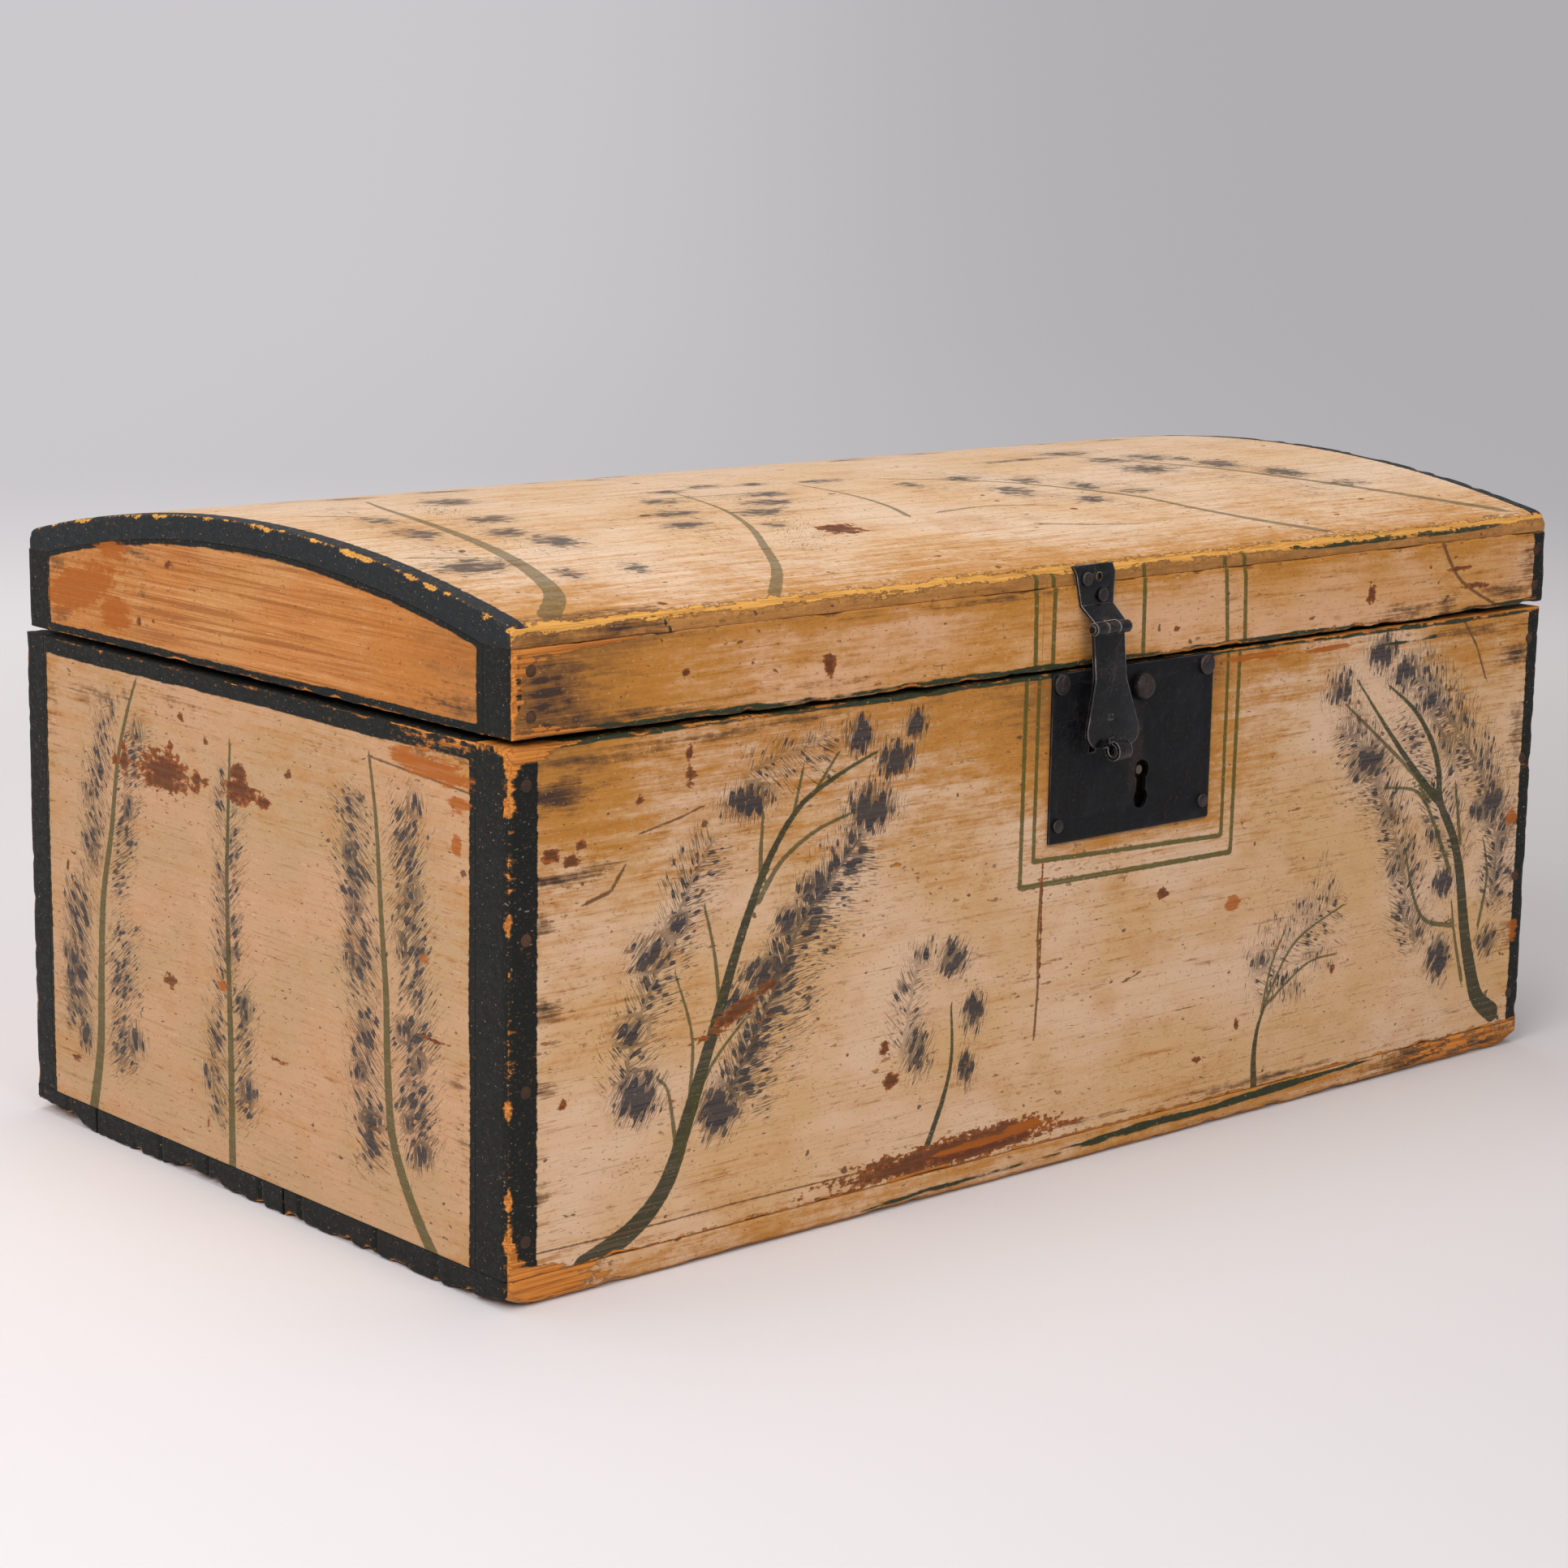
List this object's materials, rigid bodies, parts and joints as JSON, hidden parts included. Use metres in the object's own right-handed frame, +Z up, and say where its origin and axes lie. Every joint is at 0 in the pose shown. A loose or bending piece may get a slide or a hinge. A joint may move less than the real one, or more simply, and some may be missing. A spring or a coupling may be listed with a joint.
{
  "type": "dome-topped trunk",
  "caption": "Small dome-topped pine trunk with worn sprig-painted boards, an iron lock plate, a hanging hasp and a hinged lid that opens past upright.",
  "frame": {"origin": "centre of the underside of the case, on the plane that the trunk rests on", "axes": "+X along the trunk to the right as seen from the front, +Y towards the hinged back, +Z up"},
  "size_m": [0.638, 0.3775, 0.2879],
  "materials": {
    "painted_pine_case": "worn buff milk paint with dark sprigs, black-green corners",
    "pine_bottom": "bare old pine, black-green painted end grain",
    "painted_pine_lid": "worn buff milk paint over pine",
    "painted_pine_dome": "worn buff milk paint with dark sprigs, bare yellow nose",
    "rusty_nail": "rusted",
    "blackened_iron_plate": "blackened, slightly glossy",
    "blackened_iron_hasp": "blackened, rubbed edges",
    "brown_iron_head": "brown patina",
    "lock_work_iron": "dull, lightly rusted",
    "hinge_iron": "dull, lightly rusted"
  },
  "bodies": {
    "case": {"case_front_board": "painted_pine_case", "case_back_board": "painted_pine_case", "case_left_end": "painted_pine_case", "case_right_end": "painted_pine_case", "bottom_front_board": "pine_bottom", "bottom_middle_board": "pine_bottom", "bottom_back_board": "pine_bottom", "case_nails": "rusty_nail", "bottom_nails": "rusty_nail", "lock_plate": "blackened_iron_plate", "lock_plate_nails": "brown_iron_head", "keyhole_cover_rivet": "brown_iron_head", "lock_case": "lock_work_iron", "lock_drill_pin": "lock_work_iron", "lock_bolt_guides": "lock_work_iron", "lock_spring": "lock_work_iron", "left_hinge_case_leaf": "hinge_iron", "right_hinge_case_leaf": "hinge_iron", "left_hinge_pin": "hinge_iron", "right_hinge_pin": "hinge_iron", "hinge_case_screws": "hinge_iron"},
    "lid": {"lid_front_rail": "painted_pine_lid", "lid_back_rail": "painted_pine_lid", "lid_left_end": "painted_pine_lid", "lid_right_end": "painted_pine_lid", "lid_top_board": "painted_pine_dome", "lid_rail_nails": "rusty_nail", "lid_top_nails": "rusty_nail", "left_hinge_lid_leaf": "hinge_iron", "right_hinge_lid_leaf": "hinge_iron", "hinge_lid_screws": "hinge_iron", "hasp_leaf": "blackened_iron_hasp", "hasp_leaf_nails": "brown_iron_head", "hasp_pin": "hinge_iron"},
    "hasp": {"hasp_arm": "blackened_iron_hasp", "hasp_staple": "blackened_iron_hasp"},
    "bolt": {"lock_bolt": "lock_work_iron"}
  },
  "joints": [
    {"name": "lid_hinge", "type": "hinge", "parent": "case", "child": "lid", "pos_m": [0, 0.177, 0.22265], "axis": [-1, 0, 0], "range_deg": [0, 100]},
    {"name": "hasp_hinge", "type": "hinge", "parent": "lid", "child": "hasp", "pos_m": [0.0005, -0.186, 0.24], "axis": [-1, 0, 0], "range_deg": [-10.4, 150]},
    {"name": "bolt_slide", "type": "slide", "parent": "case", "child": "bolt", "axis": [-1, 0, 0], "range_m": [0, 0.009]}
  ]
}
